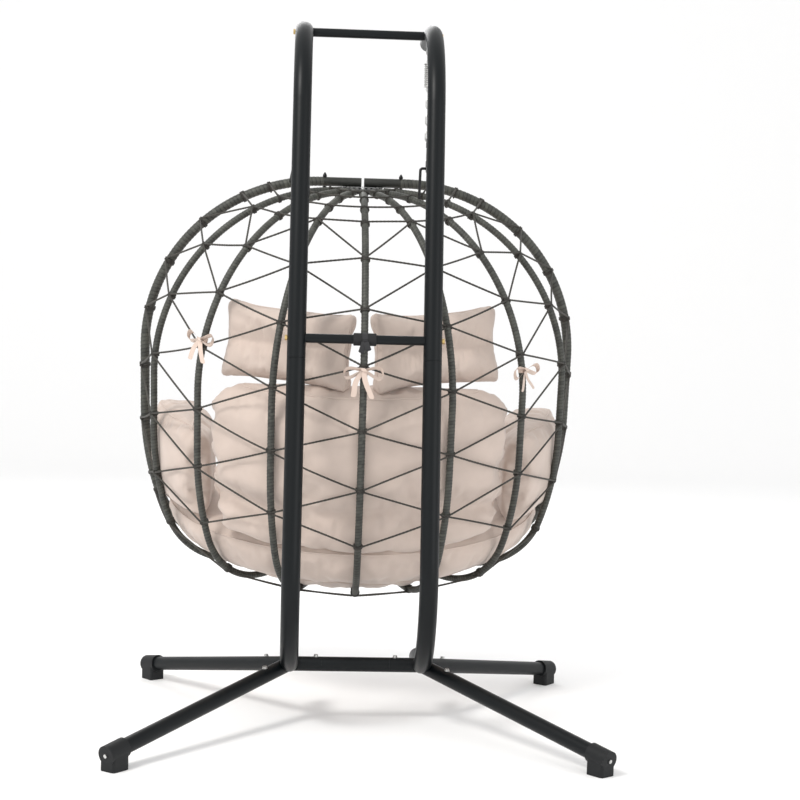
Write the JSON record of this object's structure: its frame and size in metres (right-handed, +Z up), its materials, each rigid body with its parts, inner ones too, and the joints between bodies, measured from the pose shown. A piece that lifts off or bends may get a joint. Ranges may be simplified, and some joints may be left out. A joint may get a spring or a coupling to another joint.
{
  "type": "hanging egg chair",
  "caption": "Wide hanging basket chair of wrapped ribs and tied cords with cushions, hung by chains and springs from a stand of C-shaped tubes with splayed legs.",
  "frame": {"origin": "on the floor, in the middle of the box round the whole chair at rest", "axes": "+Z up, -Y the open front where a sitter faces, +X the sitter's left"},
  "size_m": [1.314, 1.2492, 1.9599],
  "materials": {
    "stand_paint": "satin powder coat",
    "end_cap": "matte",
    "foot_plastic": "matte",
    "zinc": "zinc plated",
    "yellow_zinc": "yellow zinc plated",
    "foam": "matte foam",
    "strap": "woven",
    "black_metal": "satin",
    "core_steel": "satin",
    "rattan": "wound flat strip",
    "net_cord": "twisted cord",
    "cushion_fabric": "woven cover over fill",
    "ribbon": "woven ribbon"
  },
  "bodies": {
    "stand": {"lower_arm_left": "stand_paint", "lower_arm_right": "stand_paint", "upper_arm_left": "stand_paint", "upper_arm_right": "stand_paint", "arm_end_caps": "end_cap", "top_crossbar": "stand_paint", "middle_crossbar": "stand_paint", "base_crossbar": "stand_paint", "front_leg_left": "stand_paint", "front_leg_right": "stand_paint", "rear_leg_left": "stand_paint", "rear_leg_right": "stand_paint", "front_foot_left": "foot_plastic", "front_foot_right": "foot_plastic", "rear_foot_left": "foot_plastic", "rear_foot_right": "foot_plastic", "foot_screws": "zinc", "crossbar_bolts": "yellow_zinc", "base_bolts": "zinc", "bumper_sleeve": "foam", "bumper_strap": "strap", "eye_bolts": "zinc", "eye_bolt_nuts": "zinc"},
    "basket": {"hoop_left": "rattan", "hoop_right": "rattan", "rib_2": "rattan", "rib_3": "rattan", "rib_4": "rattan", "rib_5": "rattan", "rib_6": "rattan", "rib_7": "rattan", "rib_8": "rattan", "rib_cores": "core_steel", "top_hub_plates": "core_steel", "bottom_hub_plates": "core_steel", "hub_bolts": "zinc", "lock_bolts": "black_metal", "net_left": "net_cord", "net_right": "net_cord", "hang_bracket_left": "black_metal", "hang_bracket_right": "black_metal", "seat_cushion": "cushion_fabric", "back_cushion": "cushion_fabric", "arm_cushion_left": "cushion_fabric", "arm_cushion_right": "cushion_fabric", "pillow_left": "cushion_fabric", "pillow_right": "cushion_fabric", "pillow_ties": "ribbon"},
    "upper_link_left": {"upper_link_left": "zinc"},
    "spring_left": {"spring_left": "zinc"},
    "chain_left": {"chain_left": "zinc"},
    "carabiner_left": {"carabiner_left": "black_metal"},
    "gate_left": {"gate_left": "black_metal"},
    "upper_link_right": {"upper_link_right": "zinc"},
    "spring_right": {"spring_right": "zinc"},
    "chain_right": {"chain_right": "zinc"},
    "carabiner_right": {"carabiner_right": "black_metal"},
    "gate_right": {"gate_right": "black_metal"}
  },
  "joints": [
    {"name": "swing_left", "type": "hinge", "parent": "stand", "child": "upper_link_left", "pos_m": [0.182, -0.23208, 1.874], "axis": [-1, 0, 0], "range_deg": [0, 18]},
    {"name": "sway_left", "type": "hinge", "parent": "upper_link_left", "child": "spring_left", "pos_m": [0.182, -0.23208, 1.8599], "axis": [0, 1, 0], "range_deg": [-5, 5]},
    {"name": "bounce_left", "type": "slide", "parent": "spring_left", "child": "chain_left", "axis": [0, 0, -1], "range_m": [0, 0.03], "stiffness_N_per_m": 30000, "springref_m": -0.026, "deforming": ["spring_left"]},
    {"name": "level_left", "type": "hinge", "parent": "chain_left", "child": "carabiner_left", "pos_m": [0.182, -0.23208, 1.6351], "axis": [0, 1, 0], "range_deg": [-5, 5]},
    {"name": "tilt_left", "type": "hinge", "parent": "carabiner_left", "child": "basket", "pos_m": [0.182, -0.23208, 1.55], "axis": [-1, 0, 0], "range_deg": [0, 8]},
    {"name": "gate_pivot_left", "type": "hinge", "parent": "carabiner_left", "child": "gate_left", "pos_m": [0.182, -0.24808, 1.6151], "axis": [1, 0, 0], "range_deg": [0, 20], "stiffness_Nm_per_rad": 0.05, "springref_deg": -11.46},
    {"name": "swing_right", "type": "hinge", "parent": "stand", "child": "upper_link_right", "pos_m": [-0.182, -0.23208, 1.874], "axis": [-1, 0, 0], "range_deg": [0, 18]},
    {"name": "sway_right", "type": "hinge", "parent": "upper_link_right", "child": "spring_right", "pos_m": [-0.182, -0.23208, 1.8599], "axis": [0, 1, 0], "range_deg": [-5, 5]},
    {"name": "bounce_right", "type": "slide", "parent": "spring_right", "child": "chain_right", "axis": [0, 0, -1], "range_m": [0, 0.03], "deforming": ["spring_right"]},
    {"name": "level_right", "type": "hinge", "parent": "chain_right", "child": "carabiner_right", "pos_m": [-0.182, -0.23208, 1.6351], "axis": [0, 1, 0], "range_deg": [-5, 5]},
    {"name": "gate_pivot_right", "type": "hinge", "parent": "carabiner_right", "child": "gate_right", "pos_m": [-0.182, -0.24808, 1.6151], "axis": [1, 0, 0], "range_deg": [0, 20], "stiffness_Nm_per_rad": 0.05, "springref_deg": -11.46}
  ],
  "couplings": [
    {"joint": "level_left", "follows": "sway_left", "ratio": -1},
    {"joint": "swing_right", "follows": "swing_left", "ratio": 1},
    {"joint": "sway_right", "follows": "sway_left", "ratio": 1},
    {"joint": "bounce_right", "follows": "bounce_left", "ratio": 1},
    {"joint": "level_right", "follows": "sway_left", "ratio": -1}
  ]
}
